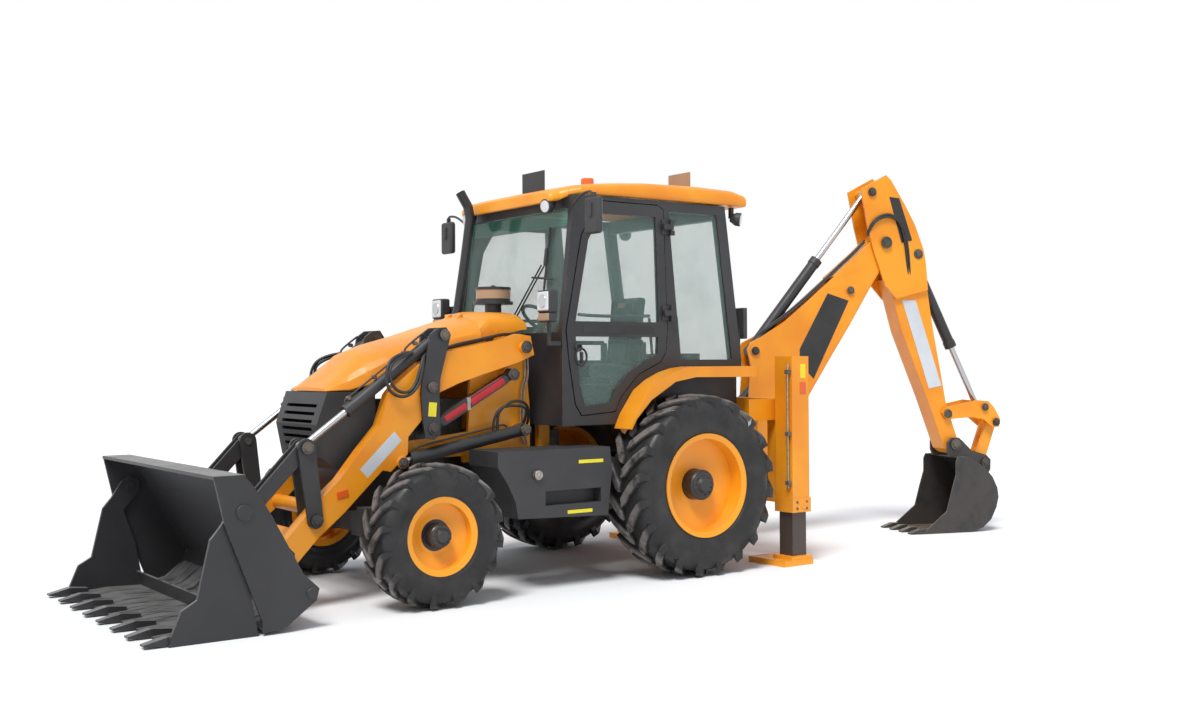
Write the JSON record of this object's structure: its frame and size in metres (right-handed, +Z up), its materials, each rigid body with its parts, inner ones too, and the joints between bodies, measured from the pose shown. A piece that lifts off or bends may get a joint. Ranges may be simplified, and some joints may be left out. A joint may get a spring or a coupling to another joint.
{
  "type": "backhoe loader",
  "caption": "Backhoe loader with a clam bucket on parallel arms, an enclosed cab and a side-shift digging arm with stabilisers.",
  "frame": {"origin": "on the ground under the middle of the rear axle", "axes": "+X forward to the loader bucket, +Y to the left, +Z up"},
  "size_m": [8.1486, 2.28, 3.285],
  "materials": {
    "black_paint": "satin black enamel",
    "black_plastic": "grained black plastic",
    "brown_steel": "oily brown bare steel",
    "chrome_rod": "polished hard chrome with an oil film",
    "clear_glass": "lightly green tinted safety glass",
    "dark_steel": "rough dark cast and forged steel",
    "orange_paint": "semi-gloss orange-yellow machine enamel, slightly dusty",
    "seat_cloth": "charcoal woven cloth",
    "tyre_rubber": "dusty dark rubber"
  },
  "bodies": {
    "machine": {"chassis_frame": "orange_paint", "engine_block": "dark_steel", "front_axle": "black_paint", "rear_axle": "black_paint", "grille_panel": "black_paint", "body_panels": "orange_paint", "side_tanks": "black_paint", "intake_and_exhaust": "black_paint", "lamps_and_mirrors": "black_plastic", "cab_shell": "black_paint", "cab_roof": "orange_paint", "cab_glass": "clear_glass", "cab_controls": "black_plastic", "rear_frame": "orange_paint"},
    "seat": {"operator_seat": "seat_cloth"},
    "bonnet": {"bonnet": "orange_paint"},
    "door_left": {"door_left": "black_paint", "door_glass_left": "clear_glass"},
    "door_right": {"door_right": "black_paint", "door_glass_right": "clear_glass"},
    "rear_wheel_left": {"rear_tyre_left": "tyre_rubber", "rear_rim_left": "orange_paint"},
    "rear_wheel_right": {"rear_tyre_right": "tyre_rubber", "rear_rim_right": "orange_paint"},
    "knuckle_left": {"knuckle_left": "black_paint"},
    "knuckle_right": {"knuckle_right": "black_paint"},
    "front_wheel_left": {"front_tyre_left": "tyre_rubber", "front_rim_left": "orange_paint"},
    "front_wheel_right": {"front_tyre_right": "tyre_rubber", "front_rim_right": "orange_paint"},
    "arms": {"loader_arms": "orange_paint", "arm_pins": "dark_steel"},
    "bell_cranks": {"bell_cranks": "black_paint", "crowd_pins": "dark_steel"},
    "levelling_links": {"levelling_links": "black_paint"},
    "lift_barrels": {"lift_barrels": "black_paint"},
    "lift_rods": {"lift_rods": "chrome_rod"},
    "crowd_barrels": {"crowd_barrels": "black_paint"},
    "crowd_pistons": {"crowd_pistons": "dark_steel"},
    "crowd_rods": {"crowd_rods": "chrome_rod"},
    "tip_levers": {"tip_levers": "black_paint", "link_pins": "dark_steel"},
    "tip_links": {"tip_links": "black_paint"},
    "loader_bucket": {"loader_bucket": "black_paint"},
    "jaw": {"bucket_jaw": "black_paint"},
    "carriage": {"carriage": "orange_paint"},
    "kingpost": {"kingpost": "orange_paint"},
    "boom": {"boom": "orange_paint"},
    "boom_barrel": {"boom_barrel": "black_paint"},
    "boom_rod": {"boom_rod": "chrome_rod"},
    "dipper": {"dipper": "orange_paint"},
    "dipper_barrel": {"dipper_barrel": "black_paint"},
    "dipper_rod": {"dipper_rod": "chrome_rod"},
    "bucket_barrel": {"bucket_barrel": "black_paint"},
    "bucket_rod": {"bucket_rod": "chrome_rod"},
    "tipping_lever": {"tipping_lever": "orange_paint"},
    "tipping_link": {"tipping_link": "orange_paint"},
    "hoe_bucket": {"hoe_bucket": "black_paint"},
    "stabiliser_left": {"stabiliser_leg_left": "brown_steel"},
    "stabiliser_right": {"stabiliser_leg_right": "brown_steel"}
  },
  "joints": [
    {"name": "loader_lift", "type": "hinge", "parent": "machine", "child": "arms", "pos_m": [1.242, 0, 1.696], "axis": [0, -1, 0], "range_deg": [-2, 83]},
    {"name": "bell_crank_turn", "type": "hinge", "parent": "arms", "child": "bell_cranks", "pos_m": [1.99, 0, 1.421], "axis": [0, -1, 0], "range_deg": [-57.7, 1.98]},
    {"name": "levelling_turn", "type": "hinge", "parent": "machine", "child": "levelling_links", "pos_m": [1.323, 0, 1.501], "axis": [0, -1, 0], "range_deg": [-2.73, 89.16]},
    {"name": "lift_ram_turn", "type": "hinge", "parent": "machine", "child": "lift_barrels", "pos_m": [1.225, 0, 1.103], "axis": [0, -1, 0], "range_deg": [-2.34, 72.64]},
    {"name": "lift_ram_stroke", "type": "slide", "parent": "lift_barrels", "child": "lift_rods", "axis": [0.9828, 0, -0.1845], "range_m": [-0.0205, 0.7273]},
    {"name": "bucket_crowd", "type": "hinge", "parent": "arms", "child": "loader_bucket", "pos_m": [3.04, 0, 0.345], "axis": [0, 1, 0], "range_deg": [-35, 55]},
    {"name": "tip_lever_turn", "type": "hinge", "parent": "arms", "child": "tip_levers", "pos_m": [2.834, 0, 0.579], "axis": [0, 1, 0], "range_deg": [-34.45, 53.78]},
    {"name": "tip_link_turn", "type": "hinge", "parent": "tip_levers", "child": "tip_links", "pos_m": [2.895, 0, 1.048], "axis": [0, 1, 0], "range_deg": [-34.65, 22.27]},
    {"name": "crowd_ram_turn", "type": "hinge", "parent": "bell_cranks", "child": "crowd_barrels", "pos_m": [1.9, 0, 1.778], "axis": [0, -1, 0], "range_deg": [-1.78, 49.49]},
    {"name": "crowd_piston_stroke", "type": "slide", "parent": "crowd_barrels", "child": "crowd_pistons", "axis": [0.8063, 0, -0.5915], "range_m": [-0.321, 0.0107]},
    {"name": "crowd_ram_stroke", "type": "slide", "parent": "crowd_pistons", "child": "crowd_rods", "axis": [0.8063, 0, -0.5915], "range_m": [-0.2473, 0.387]},
    {"name": "jaw_open", "type": "hinge", "parent": "loader_bucket", "child": "jaw", "pos_m": [3.511, 0, 0.728], "axis": [0, -1, 0], "range_deg": [0, 60]},
    {"name": "rear_wheel_left_roll", "type": "hinge", "parent": "machine", "child": "rear_wheel_left", "pos_m": [0, 0.922, 0.672], "axis": [0, 1, 0], "continuous": true},
    {"name": "rear_wheel_right_roll", "type": "hinge", "parent": "machine", "child": "rear_wheel_right", "pos_m": [0, -0.922, 0.672], "axis": [0, 1, 0], "continuous": true},
    {"name": "steer_left", "type": "hinge", "parent": "machine", "child": "knuckle_left", "pos_m": [2.17, 0.7, 0.47], "axis": [0, 0, 1], "range_deg": [-30, 30]},
    {"name": "steer_right", "type": "hinge", "parent": "machine", "child": "knuckle_right", "pos_m": [2.17, -0.7, 0.47], "axis": [0, 0, 1], "range_deg": [-30.6, 30.6]},
    {"name": "front_wheel_left_roll", "type": "hinge", "parent": "knuckle_left", "child": "front_wheel_left", "pos_m": [2.17, 0.915, 0.47], "axis": [0, 1, 0], "continuous": true},
    {"name": "front_wheel_right_roll", "type": "hinge", "parent": "knuckle_right", "child": "front_wheel_right", "pos_m": [2.17, -0.915, 0.47], "axis": [0, 1, 0], "continuous": true},
    {"name": "door_left_open", "type": "hinge", "parent": "machine", "child": "door_left", "pos_m": [0.062, 0.785, 2], "axis": [0, 0, 1], "range_deg": [0, 90]},
    {"name": "door_right_open", "type": "hinge", "parent": "machine", "child": "door_right", "pos_m": [0.062, -0.785, 2], "axis": [0, 0, -1], "range_deg": [0, 90]},
    {"name": "bonnet_open", "type": "hinge", "parent": "machine", "child": "bonnet", "pos_m": [1.497, 0, 1.935], "axis": [0, -1, 0], "range_deg": [0, 48]},
    {"name": "seat_swivel", "type": "hinge", "parent": "machine", "child": "seat", "pos_m": [0.15, 0, 1.43], "axis": [0, 0, 1], "range_deg": [0, 180]},
    {"name": "stabiliser_left_lift", "type": "slide", "parent": "machine", "child": "stabiliser_left", "axis": [0, 0, 1], "range_m": [0, 0.33]},
    {"name": "stabiliser_right_lift", "type": "slide", "parent": "machine", "child": "stabiliser_right", "axis": [0, 0, 1], "range_m": [0, 0.33]},
    {"name": "side_shift", "type": "slide", "parent": "machine", "child": "carriage", "axis": [0, 1, 0], "range_m": [-0.13, 0.97]},
    {"name": "boom_slew", "type": "hinge", "parent": "carriage", "child": "kingpost", "pos_m": [-1.36, -0.42, 0.87], "axis": [0, 0, 1], "range_deg": [-70, 110]},
    {"name": "boom_raise", "type": "hinge", "parent": "kingpost", "child": "boom", "pos_m": [-1.71708, -0.29003, 0.72], "axis": [0.342, 0.9397, 0], "range_deg": [-100, 15]},
    {"name": "boom_ram_turn", "type": "hinge", "parent": "kingpost", "child": "boom_barrel", "pos_m": [-1.50095, -0.3687, 1.1], "axis": [0.342, 0.9397, 0], "range_deg": [-92.8, 14.43]},
    {"name": "boom_ram_stroke", "type": "slide", "parent": "boom_barrel", "child": "boom_rod", "axis": [-0.6734, 0.2451, 0.6974], "range_m": [-0.1022, 0.6645]},
    {"name": "dipper_crowd", "type": "hinge", "parent": "boom", "child": "dipper", "pos_m": [-2.91331, 0.14536, 2.663], "axis": [-0.342, -0.9397, 0], "range_deg": [-90, 18]},
    {"name": "dipper_ram_turn", "type": "hinge", "parent": "boom", "child": "dipper_barrel", "pos_m": [-1.70581, -0.29414, 1.675], "axis": [-0.342, -0.9397, 0], "range_deg": [-0.96, 0.67]},
    {"name": "dipper_ram_stroke", "type": "slide", "parent": "dipper_barrel", "child": "dipper_rod", "axis": [-0.5835, 0.2124, 0.7838], "range_m": [-0.6998, 0.1424]},
    {"name": "digging_bucket_curl", "type": "hinge", "parent": "dipper", "child": "hoe_bucket", "pos_m": [-3.55888, 0.38033, 0.8], "axis": [-0.342, -0.9397, 0], "range_deg": [-85, 100]},
    {"name": "tipping_lever_turn", "type": "hinge", "parent": "dipper", "child": "tipping_lever", "pos_m": [-3.5025, 0.35981, 1.085], "axis": [-0.342, -0.9397, 0], "range_deg": [-53.9, 63.3]},
    {"name": "tipping_link_turn", "type": "hinge", "parent": "hoe_bucket", "child": "tipping_link", "pos_m": [-3.85488, 0.48806, 0.625], "axis": [-0.342, -0.9397, 0], "range_deg": [-60.6, 51.6]},
    {"name": "bucket_ram_turn", "type": "hinge", "parent": "dipper", "child": "bucket_barrel", "pos_m": [-3.22717, 0.25959, 2.566], "axis": [-0.342, -0.9397, 0], "range_deg": [-2.53, 2.87]},
    {"name": "bucket_ram_stroke", "type": "slide", "parent": "bucket_barrel", "child": "bucket_rod", "axis": [-0.4073, 0.1483, -0.9012], "range_m": [-0.3126, 0.3673]}
  ],
  "couplings": [
    {"joint": "bell_crank_turn", "follows": "loader_lift", "ratio": -0.688},
    {"joint": "levelling_turn", "follows": "loader_lift", "ratio": 1.067},
    {"joint": "lift_ram_turn", "follows": "loader_lift", "ratio": 0.868},
    {"joint": "lift_ram_stroke", "follows": "loader_lift", "m_per_rad": 0.5},
    {"joint": "tip_lever_turn", "follows": "bucket_crowd", "ratio": 0.967},
    {"joint": "tip_link_turn", "follows": "bucket_crowd", "ratio": -0.619},
    {"joint": "crowd_ram_turn", "follows": "loader_lift", "ratio": 0.589},
    {"joint": "crowd_piston_stroke", "follows": "loader_lift", "m_per_rad": -0.2195},
    {"joint": "crowd_ram_stroke", "follows": "bucket_crowd", "m_per_rad": 0.4},
    {"joint": "steer_right", "follows": "steer_left", "ratio": 1},
    {"joint": "boom_ram_turn", "follows": "boom_raise", "ratio": 0.922},
    {"joint": "boom_ram_stroke", "follows": "boom_raise", "m_per_rad": -0.379},
    {"joint": "dipper_ram_turn", "follows": "dipper_crowd", "ratio": 0.004},
    {"joint": "dipper_ram_stroke", "follows": "dipper_crowd", "m_per_rad": 0.4436},
    {"joint": "tipping_lever_turn", "follows": "digging_bucket_curl", "ratio": 0.627},
    {"joint": "tipping_link_turn", "follows": "digging_bucket_curl", "ratio": -0.6},
    {"joint": "bucket_ram_turn", "follows": "digging_bucket_curl", "ratio": 0.0227},
    {"joint": "bucket_ram_stroke", "follows": "digging_bucket_curl", "m_per_rad": 0.2087}
  ]
}
